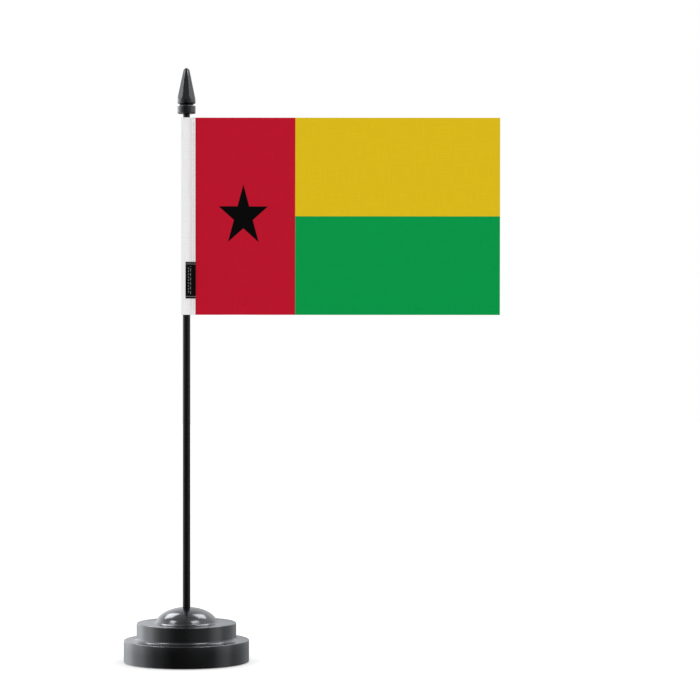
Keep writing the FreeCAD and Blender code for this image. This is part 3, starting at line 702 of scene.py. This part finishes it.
def woven_cloth(name, pitch, size, shift, colour, roughness, depth):
    """A cloth material on the piece's own UV map, in millimetres.

    The colour is one value or a print group; depth is the strength of the weave's relief."""
    material, tree, surface = new_material(name)
    chart = add_node(tree, "ShaderNodeUVMap", uv_map="UVMap").outputs[0]
    measured = stretched(tree, chart, size, Location=shift)
    weave = use_group(tree, plain_weave, Vector=measured, Pitch=pitch)
    # Partly real, partly painted light: the yarns' random slubs, plus painted shade between the
    # yarns and painted highlight on their crowns. This multiplies every cloth colour, print
    # included.
    shade = blend_colours(tree, weave["Tone"], grey(0.8), grey(1.12))
    if isinstance(colour, bpy.types.NodeTree):
        colour = use_group(tree, colour, Vector=measured)["Color"]
    feed(tree, surface, {
        "Base Color": blend_colours(tree, 1.0, shade, colour, blend_type="MULTIPLY"),
        "Roughness": maths(tree, "MULTIPLY_ADD", weave["Tone"], 0.12, roughness),
        "Normal": relief(tree, weave["Height"], depth, GRAIN_DEPTH),
        "Specular IOR Level": 0.03,
        "Sheen Weight": 0.02,
        "Sheen Roughness": 0.5,
    })
    return material


panel_width = (flag_high.x - flag_low.x) / MM
seam_margin = (SEAM_EDGE - flag_low.x) / MM
dress(flag, woven_cloth("dyed_polyester", pitch=0.22, size=(panel_width, HOIST / MM, 1),
                        shift=(-seam_margin, 0, 0), colour=make_flag_print(),
                        roughness=0.72, depth=0.5))
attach(flag, "flag")
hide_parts("flag_panel")

# ----------------------------------------------------------------------------------------------
# Sleeve. A strip of plain white polyester folded round the staff, its two edges lapped over the
# flag's hoist edge and sewn through. Its top end is turned in, which narrows the mouth so that
# it rests on the grip ring.
# ----------------------------------------------------------------------------------------------
SLEEVE_CLOTH = 0.2 * MM
SEAM_WIDTH = 1.5 * MM
SLEEVE_RADIUS = -sleeve_low.x - SLEEVE_CLOTH / 2
SEAM_SLACK = 0.01 * MM
SEAM_DEPTH = CLOTH / 2 + SLEEVE_CLOTH / 2 + SEAM_SLACK
CREASE = 0.16 * MM
STITCH_PITCH = 2.6 * MM
STITCH_LINE = SEAM_EDGE - 0.75 * MM
STITCH_PULL = 0.045 * MM
STITCH_REACH = 0.8 * MM
HEM_ROOM = 0.12 * MM
SLEEVE_TOP = sleeve_high.z - HEM_ROOM
seam_start = SEAM_EDGE - SEAM_WIDTH


def lean_of(radius, depth):
    """The angle from the flag's plane at which the flat part of the fold leaves the round part."""
    return math.acos(radius / math.hypot(seam_start, depth)) + math.atan2(depth, seam_start)


def wrap(distance, radius, depth):
    """A point of the drop-shaped fold round the staff, a distance along it from the front edge."""
    slope = lean_of(radius, depth)
    knee = math.sqrt(seam_start**2 + depth**2 - radius**2)
    turn = radius * (2 * math.pi - 2 * slope)
    touch = Vector((math.cos(slope), math.sin(slope))) * radius
    stretches = [
        (SEAM_WIDTH, Vector((SEAM_EDGE, -depth)), Vector((seam_start, -depth))),
        (knee, Vector((seam_start, -depth)), Vector((touch.x, -touch.y))),
        (turn, None, None),
        (knee, touch, Vector((seam_start, depth))),
        (SEAM_WIDTH, Vector((seam_start, depth)), Vector((SEAM_EDGE, depth))),
    ]
    for length, start, end in stretches:
        if distance <= length:
            if start is None:
                angle = -slope - distance / radius
                return Vector((radius * math.cos(angle), radius * math.sin(angle)))
            return start.lerp(end, max(distance, 0) / length)
        distance -= length
    return stretches[-1][2]


def wrap_length(radius, depth):
    """The flat width of a strip folded like that."""
    knee = math.sqrt(seam_start**2 + depth**2 - radius**2)
    return 2 * SEAM_WIDTH + 2 * knee + radius * (2 * math.pi - 2 * lean_of(radius, depth))


def wrapped_strip(name, radius, depth, length, low, high, columns, rows, crease):
    """A strip of cloth folded round the staff, creased a little and pulled in by the stitches."""
    mesh = bpy.data.meshes.new(name)
    places = []
    for row in range(rows + 1):
        height = low + (high - low) * row / rows
        pull = 0.5 - 0.5 * math.cos(2 * math.pi * (height - flag_low.z) / STITCH_PITCH)
        for column in range(columns + 1):
            spot = wrap(length * column / columns, radius, depth)
            out = spot.normalized()
            across, over, up = spot.x / MM, spot.y / MM, height / MM
            drift = noise.noise(Vector((across * 0.35, over * 0.35, up * 0.11)))
            drift += 0.4 * noise.noise(Vector((across, over, up * 0.45)))
            away = min(max((seam_start - spot.x) / MM, 0), 1)
            spot += out * crease * max(drift, 0) * away
            near = max(1 - abs(spot.x - STITCH_LINE) / STITCH_REACH, 0)
            spot.y += math.copysign(STITCH_PULL, spot.y) * pull * near
            places.append((spot.x, spot.y, height))
    width = columns + 1
    faces = [(row * width + column, (row + 1) * width + column,
              (row + 1) * width + column + 1, row * width + column + 1)
             for row in range(rows) for column in range(columns)]
    mesh.from_pydata(places, [], faces)
    chart = mesh.uv_layers.new(name="UVMap")
    for loop in mesh.loops:
        row, column = divmod(loop.vertex_index, width)
        chart.data[loop.index].uv = (column / columns, row / rows)
    piece = bpy.data.objects.new(name, mesh)
    scene.collection.objects.link(piece)
    return piece


def thicken(piece, thickness, **smoothing):
    """Smooth a single sheet once and give it its thickness, half to each side."""
    finish_modifier(piece, "SUBSURF", levels=1, render_levels=1, **smoothing)
    finish_modifier(piece, "SOLIDIFY", thickness=thickness, offset=0.0, use_even_offset=True)
    bpy.ops.object.shade_smooth_by_angle(angle=math.radians(50))


sleeve_width = wrap_length(SLEEVE_RADIUS, SEAM_DEPTH)
sleeve = wrapped_strip("sleeve_cloth", SLEEVE_RADIUS, SEAM_DEPTH, sleeve_width, sleeve_low.z,
                       SLEEVE_TOP, columns=46, rows=154, crease=CREASE)
thicken(sleeve, SLEEVE_CLOTH, boundary_smooth="PRESERVE_CORNERS")

HEM_OVERLAP = 0.2 * MM
HEM_RADIUS = ring_high.x - HEM_OVERLAP
HEM_DEPTH = 3.3 * MM
HEM_STEPS = 64
PUCKER = 0.05 * MM
PUCKER_COUNT = 5


def fold_reach(angle):
    """How far the sleeve stands from the staff's axis in one direction."""
    slope = lean_of(SLEEVE_RADIUS, SEAM_DEPTH)
    bend = abs(math.atan2(math.sin(angle), math.cos(angle)))
    if bend >= slope:
        return SLEEVE_RADIUS
    return min(SLEEVE_RADIUS / math.cos(slope - bend), (seam_start - 0.1 * MM) / math.cos(bend))


def make_top_hem():
    """The turned-in end of the sleeve: over the top edge, then down the inside to the grip ring."""
    levels = [(0.0, -0.12), (0.1, 0.0), (0.5, 0.06), (0.9, 0.0), (1.0, -0.2), (1.0, -1.2),
              (1.0, -2.3), (1.0, -HEM_DEPTH / MM)]
    top_edge = SLEEVE_TOP - 0.1 * MM
    places = []
    for share, drop in levels:
        for step in range(HEM_STEPS):
            angle = 2 * math.pi * step / HEM_STEPS
            reach = fold_reach(angle) * (1 - share) + HEM_RADIUS * share
            reach += PUCKER * math.sin(PUCKER_COUNT * angle) * share
            places.append((reach * math.cos(angle), reach * math.sin(angle), top_edge + drop * MM))
    faces = [(row * HEM_STEPS + step, row * HEM_STEPS + (step + 1) % HEM_STEPS,
              (row + 1) * HEM_STEPS + (step + 1) % HEM_STEPS, (row + 1) * HEM_STEPS + step)
             for row in range(len(levels) - 1) for step in range(HEM_STEPS)]
    mesh = bpy.data.meshes.new("sleeve_top_hem")
    mesh.from_pydata(places, [], faces)
    chart = mesh.uv_layers.new(name="UVMap")
    for face in mesh.polygons:
        first = face.vertices[0] % HEM_STEPS
        for loop_index in face.loop_indices:
            row, step = divmod(mesh.loops[loop_index].vertex_index, HEM_STEPS)
            step = HEM_STEPS if first == HEM_STEPS - 1 and step == 0 else step
            chart.data[loop_index].uv = (step / HEM_STEPS, row / (len(levels) - 1))
    piece = bpy.data.objects.new("sleeve_top_hem", mesh)
    scene.collection.objects.link(piece)
    return piece


hem = make_top_hem()
thicken(hem, SLEEVE_CLOTH)
WHITE_CLOTH = (0.83, 0.83, 0.835, 1)
HEM_FLAT_HEIGHT = 4.5
for piece, name, size in (
        (sleeve, "white_polyester", (sleeve_width / MM, HOIST / MM, 1)),
        (hem, "white_polyester_hem", (2 * math.pi * HEM_RADIUS / MM, HEM_FLAT_HEIGHT, 1))):
    dress(piece, woven_cloth(name, pitch=0.24, size=size, shift=(0, 0, 0), colour=WHITE_CLOTH,
                             roughness=0.75, depth=0.55))

# ----------------------------------------------------------------------------------------------
# Label. A small tape of black woven satin. One edge is caught in the seam, and the tape folds
# back over the sleeve and the stitches. Its lines and dashes are woven in grey and say nothing.
# ----------------------------------------------------------------------------------------------
label_low, label_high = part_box("woven_label")
LABEL_TAPE = 0.16 * MM
LABEL_CURL = 0.06 * MM
LABEL_TUCK = 0.12 * MM
LABEL_GAP = 0.02 * MM
LABEL_END_GAP = 0.12 * MM
THREAD = 0.12 * MM
AIR = 0.03 * MM
label_radius = -sleeve_low.x + LABEL_GAP + LABEL_TAPE / 2 + CREASE * 0.3
label_depth = SEAM_DEPTH + SLEEVE_CLOTH / 2 + 2 * THREAD + LABEL_TAPE / 2 + AIR
label_width = 0.0
while wrap(label_width, label_radius, label_depth).x > label_low.x + LABEL_END_GAP:
    label_width += 0.02 * MM
label = wrapped_strip("woven_label_tape", label_radius, label_depth, label_width, label_low.z,
                      label_high.z, columns=14, rows=40, crease=0.0)
for point in label.data.vertices:
    if point.co.x < label_low.x + 0.4 * MM:
        point.co.y -= LABEL_CURL * (1 + math.sin(point.co.z / MM * 1.3))
    if point.co.x > SEAM_EDGE - 0.01 * MM:
        point.co.x += LABEL_TUCK
        point.co.y = -CLOTH / 2 - LABEL_TUCK
thicken(label, LABEL_TAPE, boundary_smooth="PRESERVE_CORNERS")
label_length = (label_high.z - label_low.z) / MM


def make_label_pattern():
    """A thin line across both ends and two rows of grey dashes along the tape, in millimetres."""
    tree, given, leave = new_group("label_pattern", [("Vector", "NodeSocketVector")],
                                   [("Color", "NodeSocketColor")])
    parts = add_node(tree, "ShaderNodeSeparateXYZ", {0: given["Vector"]})
    across, along = parts.outputs[0], parts.outputs[1]
    from_end = maths(tree, "MINIMUM", along, maths(tree, "SUBTRACT", label_length, along))
    marks = maths(tree, "COMPARE", from_end, 1.0, 0.14)
    for offset, pitch, share in ((3.1, 2.3, 0.62), (4.3, 1.5, 0.45)):
        row = maths(tree, "COMPARE", across, offset, 0.22)
        phase = maths(tree, "FRACT", maths(tree, "DIVIDE", along, pitch))
        beat = maths(tree, "LESS_THAN", phase, share)
        inside = maths(tree, "GREATER_THAN", from_end, 2.2)
        dash = maths(tree, "MULTIPLY", maths(tree, "MULTIPLY", row, beat), inside)
        marks = maths(tree, "MAXIMUM", marks, dash)
    feed(tree, leave, {"Color": blend_colours(tree, marks, grey(0.002), grey(0.2))})
    return tree


dress(label, woven_cloth("black_woven_tape", pitch=0.16, size=(label_width / MM, label_length, 1),
                         shift=(0, 0, 0), colour=make_label_pattern(), roughness=0.6, depth=0.5))

# ----------------------------------------------------------------------------------------------
# Hoist seam. One row of white lockstitch through sleeve, flag and sleeve. Each stitch is a short
# loop of twisted polyester thread on either face that dips into the cloth at both ends.
# ----------------------------------------------------------------------------------------------
STITCH = 2.2 * MM
STITCH_SLANT = 0.06 * MM
STITCH_SINK = 0.6


def make_stitch(side):
    """One stitch at the foot of the seam, arched off the cloth on its own side."""
    bpy.ops.object.select_all(action="DESELECT")
    bpy.ops.mesh.primitive_cylinder_add(vertices=8, radius=THREAD, depth=STITCH * 0.5)
    piece = bpy.context.object
    bpy.ops.object.mode_set(mode="EDIT")
    for end in (1, -1):
        for advance, dip, narrow in ((0.17, 0.3, 0.95), (0.08, 0.9, 0.75)):
            bpy.ops.mesh.select_all(action="DESELECT")
            shape = bmesh.from_edit_mesh(piece.data)
            tip = max(end * point.co.z for point in shape.verts)
            for point in shape.verts:
                point.select_set(end * point.co.z > tip - 0.001 * MM)
            shape.select_flush_mode()
            bmesh.update_edit_mesh(piece.data)
            step = (0, -side * dip * THREAD, end * advance * STITCH)
            bpy.ops.mesh.extrude_region_move(TRANSFORM_OT_translate={"value": step})
            bpy.ops.transform.resize(value=(narrow, narrow, narrow))
    bpy.ops.mesh.select_all(action="SELECT")
    bpy.ops.mesh.normals_make_consistent(inside=False)
    bpy.ops.object.mode_set(mode="OBJECT")
    bpy.ops.object.shade_smooth_by_angle(angle=math.radians(60))
    return piece


stitch_count = int((HOIST - STITCH_PITCH) / STITCH_PITCH)
first_stitch = sleeve_low.z + (HOIST - (stitch_count - 1) * STITCH_PITCH) / 2
sleeve_face = SEAM_DEPTH + SLEEVE_CLOTH / 2 + AIR
stitches = []
for side in (-1, 1):
    pattern = make_stitch(side)
    for index in range(stitch_count):
        level = first_stitch + index * STITCH_PITCH
        stitch = pattern.copy()
        stitch.data = pattern.data.copy()
        slant = STITCH_SLANT * math.sin(index * 2.4)
        for point in stitch.data.vertices:
            point.co += Vector((STITCH_LINE + slant,
                                side * (sleeve_face + THREAD * STITCH_SINK), level))
        scene.collection.objects.link(stitch)
        stitches.append(stitch)
    bpy.data.objects.remove(pattern)
bpy.ops.object.select_all(action="DESELECT")
for stitch in stitches:
    stitch.select_set(True)
bpy.context.view_layer.objects.active = stitches[0]
bpy.ops.object.join()
seam = bpy.context.object
seam.name = "hoist_stitches"


def twisted_thread(name, colour):
    """Two-ply sewing thread: slanting ply lines across each stitch, with painted shade in the
    grooves between the plies, and a few loose fibres.
    """
    material, tree, surface = new_material(name)
    place = object_place(tree)
    ply = stretched(tree, place, (1, 1, 1), Rotation=(0, 0.6, 0))
    twist = add_node(tree, "ShaderNodeTexWave", {
        "Vector": ply, "Scale": 900.0, "Distortion": 0.6, "Detail": 1.0}, bands_direction="Z")
    fibre = mottle(tree, place, 9000.0)
    shade = maths(tree, "ADD", maths(tree, "MULTIPLY", twist.outputs[1], 0.7),
                  maths(tree, "MULTIPLY", fibre, 0.3))
    # Painted shade: the colour falls to this darker white where the bump sinks into the grooves
    # between the plies.
    painted_shade_colour = tuple(part * 0.6 for part in colour[:3]) + (1,)
    feed(tree, surface, {
        "Base Color": blend_colours(tree, shade, painted_shade_colour, colour),
        "Normal": relief(tree, shade, 0.6, 0.04 * MM),
        "Roughness": 0.6,
        "Sheen Weight": 0.1,
    })
    return material


dress(seam, twisted_thread("white_sewing_thread", (0.75, 0.75, 0.74, 1)))
for piece, node in ((sleeve, "flag_sleeve"), (hem, "flag_sleeve"), (label, "woven_label"),
                    (seam, "hoist_seam")):
    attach(piece, "flag")
    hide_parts(node)

# ----------------------------------------------------------------------------------------------
# Studio. A white sweep with four soft boxes overhead; the walls are bright at the sides and dark
# towards the viewer, which is what the glossy plastic mirrors. The lens looks level along +Y.
# ----------------------------------------------------------------------------------------------
FILL = 0.92
COOL_LIGHT = (0.95, 0.98, 1.03, 1)
FLOOR_SIZE = 8
FLOOR_GLOW = 0.3
LAMP_DISTANCE = 0.8
LENS = 126.7
EYE = (83.42 * MM, -1257 * MM, 159.1 * MM)
bpy.ops.mesh.primitive_plane_add(size=FLOOR_SIZE)
floor = bpy.context.object
floor.name = "studio_floor"
floor.visible_glossy = False


BRIGHTEST = 3.0
RING_OF_LIGHT = [(0.0, 0.015), (0.06, 0.01), (0.09, 0.04), (0.13, 0.12), (0.16, 0.16),
                 (0.2, 0.38), (0.24, 0.75), (0.29, 0.76), (0.34, 0.9), (0.42, 0.37),
                 (0.5, 0.04), (0.6, 0.22), (0.67, 0.21), (0.725, 0.19), (0.77, 0.4),
                 (0.81, 0.27), (0.845, 0.09), (0.88, 0.055), (0.94, 0.04), (1.0, 0.015)]
HORIZON = -0.11
WALL_RISE = 4.5
CEILING = 0.95
CEILING_NEAR = 0.5
CEILING_FAR = 1.05
CEILING_SIDES = 1.6
CEILING_RIGHT = 0.4


def make_studio_glow():
    """How bright the studio looks in each direction: a ring of light and shade round the stand,
    and a pale ceiling that is dimmer over the near side."""
    tree, given, leave = new_group("studio_glow", [("Direction", "NodeSocketVector")],
                                   [("Glow", "NodeSocketFloat")])
    parts = add_node(tree, "ShaderNodeSeparateXYZ", {0: given["Direction"]})
    sideways, away, rise = parts.outputs[0], parts.outputs[1], parts.outputs[2]
    turned = maths(tree, "ARCTAN2", sideways, away)
    share = maths(tree, "ADD", maths(tree, "DIVIDE", turned, 2 * math.pi), 0.5, clamp=True)
    ring = add_node(tree, "ShaderNodeValToRGB", {0: share})
    bar = ring.color_ramp
    bar.interpolation = "LINEAR"
    for position, _ in RING_OF_LIGHT[1:-1]:
        bar.elements.new(position)
    for element, (_, level) in zip(bar.elements, RING_OF_LIGHT):
        element.color = grey(level)
    above_floor = maths(tree, "MAXIMUM", maths(tree, "SUBTRACT", rise, HORIZON), 0.0)
    above_floor = maths(tree, "MINIMUM", above_floor, 0.21)
    wall = maths(tree, "MULTIPLY", ring.outputs[0], BRIGHTEST)
    wall = maths(tree, "MULTIPLY", wall, maths(tree, "MULTIPLY_ADD", above_floor, WALL_RISE, 1.0))
    far_side = maths(tree, "POWER", maths(tree, "MAXIMUM", away, 0.0), 4.0)
    near_side = maths(tree, "MINIMUM", away, 0.0)
    both_sides = maths(tree, "ABSOLUTE", sideways)
    ceiling = maths(tree, "MULTIPLY_ADD", near_side, CEILING_NEAR, CEILING)
    ceiling = maths(tree, "MULTIPLY_ADD", far_side, CEILING_FAR, ceiling)
    ceiling = maths(tree, "MULTIPLY_ADD", both_sides, CEILING_SIDES, ceiling)
    ceiling = maths(tree, "MULTIPLY_ADD", sideways, CEILING_RIGHT, ceiling)
    lift = maths(tree, "MULTIPLY_ADD", rise, 1.43, 0.06, clamp=True)
    feed(tree, leave, {"Glow": blend_values(tree, lift, wall, ceiling)})
    return tree


studio_glow = make_studio_glow()


def paint_floor(piece):
    """White paper with a faint tooth, lit from behind as a light table is."""
    material, tree, surface = new_material("white_sweep")
    grain = mottle(tree, object_place(tree), 60.0)
    feed(tree, surface, {
        "Base Color": blend_colours(tree, grain, grey(0.93), grey(0.96)),
        "Roughness": 1.0,
        "Specular IOR Level": 0.0,
        "Emission Color": grey(1),
        "Emission Strength": FLOOR_GLOW,
    })
    dress(piece, material)


def light_world():
    """White to the eye, an even fill for matt surfaces, and the studio's glow in reflections."""
    world = bpy.data.worlds.new("studio_air")
    scene.world = world
    world.use_nodes = True
    tree = world.node_tree
    tree.nodes.clear()
    look = add_node(tree, "ShaderNodeTexCoord").outputs["Generated"]
    glow = use_group(tree, studio_glow, Direction=look)["Glow"]
    path = add_node(tree, "ShaderNodeLightPath").outputs
    fill = blend_values(tree, path["Is Camera Ray"], FILL, 1.0)
    level = blend_values(tree, path["Is Glossy Ray"], fill, glow)
    tint = blend_colours(tree, path["Is Glossy Ray"], grey(1), COOL_LIGHT)
    air = add_node(tree, "ShaderNodeBackground", {"Color": tint, "Strength": level})
    add_node(tree, "ShaderNodeOutputWorld", {"Surface": air.outputs[0]})


def hang_soft_box(name, direction, width, height, power):
    """One soft box over the stand, facing the dome."""
    aim = Vector((0, 0, DOME_CENTRE))
    place = aim + Vector(direction).normalized() * LAMP_DISTANCE
    bpy.ops.object.light_add(type="AREA", location=place)
    lamp = bpy.context.object
    lamp.name = name
    lamp.data.shape = "RECTANGLE"
    lamp.data.size = width
    lamp.data.size_y = height
    lamp.data.energy = power
    lamp.data.color = COOL_LIGHT[:3]
    lamp.rotation_euler = Vector(direction).to_track_quat("Z", "Y").to_euler()
    lamp.visible_camera = False
    lamp.visible_diffuse = False


paint_floor(floor)
light_world()
hang_soft_box("box_back_left", (-0.45, 0.48, 0.75), 0.36, 0.3, 3.0)
hang_soft_box("box_back_right", (0.39, 0.42, 0.82), 0.34, 0.3, 2.6)
hang_soft_box("box_front_left", (-0.63, -0.3, 0.72), 0.28, 0.24, 2.4)
hang_soft_box("box_front_right", (0.46, -0.42, 0.78), 0.32, 0.26, 2.8)

bpy.ops.object.camera_add(location=EYE, rotation=(math.pi / 2, 0, 0))
camera = bpy.context.object
camera.data.lens = LENS
camera.data.clip_start = 0.05
camera.data.clip_end = 50
scene.camera = camera
scene.view_settings.view_transform = "Standard"
